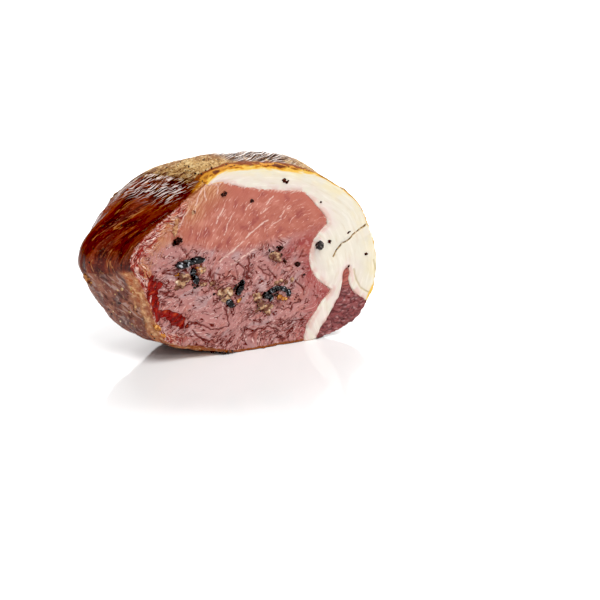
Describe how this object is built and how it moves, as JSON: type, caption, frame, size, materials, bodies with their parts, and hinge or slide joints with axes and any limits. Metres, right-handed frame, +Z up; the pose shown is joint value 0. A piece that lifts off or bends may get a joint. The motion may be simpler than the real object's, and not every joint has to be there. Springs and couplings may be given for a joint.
{
  "type": "smoked cured pork loin",
  "caption": "End piece of smoked, cured pork loin with a slanted cut: lean eye, fat cap, a thin side muscle, spice bits in the cut and a dark smoked outside.",
  "frame": {"origin": "under the middle of the whole, on the surface that it rests on", "axes": "+Z up; the cut face looks towards -Y; the log runs back from it and towards -X, to the rounded end"},
  "size_m": [0.1382, 0.0572, 0.0917],
  "materials": {
    "lean": "moist cured lean meat, dark and glossy where it was smoked",
    "fat": "waxy creamy fat, tanned and mottled where it was smoked",
    "side_muscle": "dark, half-dried muscle"
  },
  "bodies": {
    "root": {"lean": "lean", "fat_cap": "fat", "flap_muscle": "side_muscle"}
  },
  "joints": []
}
